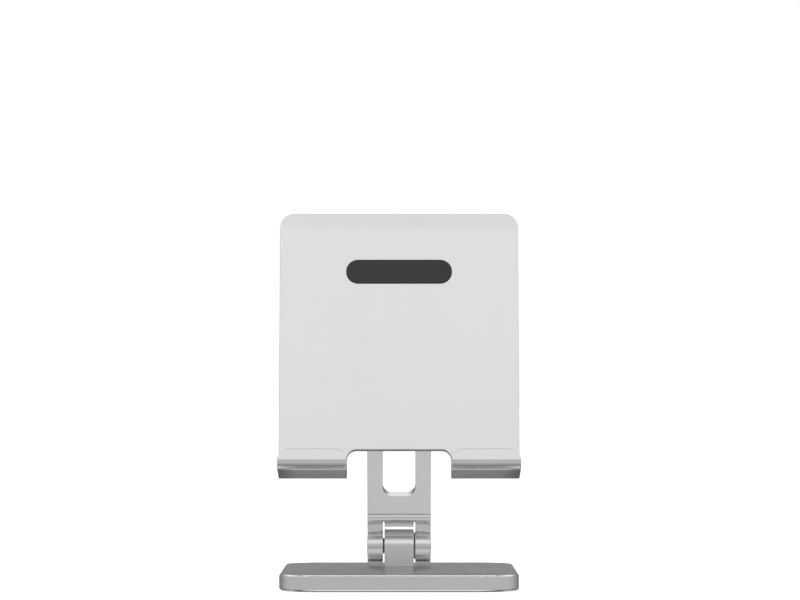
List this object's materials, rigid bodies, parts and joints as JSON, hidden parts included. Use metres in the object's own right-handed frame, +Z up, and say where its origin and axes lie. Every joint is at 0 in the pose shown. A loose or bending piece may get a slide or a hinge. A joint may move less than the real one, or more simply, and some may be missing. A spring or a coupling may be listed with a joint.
{
  "type": "phone stand",
  "caption": "Desk phone stand: a flat rubber-footed base, a short leaning arm on friction hinges, and a bent-sheet cradle with front hooks and a back pad.",
  "frame": {"origin": "centre of the stand's footprint, on the table", "axes": "+Z up; -Y is the front, where the device's screen faces; +X is to the right seen from the front"},
  "size_m": [0.0778, 0.096, 0.1213],
  "materials": {
    "satin_aluminium": "bead-blasted and clear anodised, satin, with bright-cut edges",
    "grey_silicone": "matt moulded silicone",
    "bright_steel": "turned steel, nickel plated",
    "dark_spring_steel": "blackened spring steel",
    "acetal": "natural acetal, matt"
  },
  "bodies": {
    "base": {"base_plate": "satin_aluminium", "base_mat": "grey_silicone", "base_lug": "satin_aluminium", "base_lug_screws": "bright_steel", "lower_bush": "acetal"},
    "arm": {"arm": "satin_aluminium", "lower_pin": "bright_steel", "lower_nut": "bright_steel", "lower_washer_left": "dark_spring_steel", "lower_washer_right": "dark_spring_steel", "lower_cap_left": "satin_aluminium", "lower_cap_right": "satin_aluminium", "upper_pin": "bright_steel", "upper_nut": "bright_steel", "upper_washer_left": "dark_spring_steel", "upper_washer_right": "dark_spring_steel", "upper_cap_left": "satin_aluminium", "upper_cap_right": "satin_aluminium"},
    "cradle": {"cradle_plate": "satin_aluminium", "cradle_lug": "satin_aluminium", "cradle_lug_screws": "bright_steel", "upper_bush": "acetal", "back_pad": "grey_silicone", "hook_pad_left": "grey_silicone", "hook_pad_right": "grey_silicone"}
  },
  "joints": [
    {"name": "arm_tilt", "type": "hinge", "parent": "base", "child": "arm", "pos_m": [0, 0.0225, 0.012], "axis": [1, 0, 0], "range_deg": [-60, 30]},
    {"name": "cradle_tilt", "type": "hinge", "parent": "arm", "child": "cradle", "pos_m": [0, 0.00198, 0.06838], "axis": [1, 0, 0], "range_deg": [-148, 32]}
  ]
}
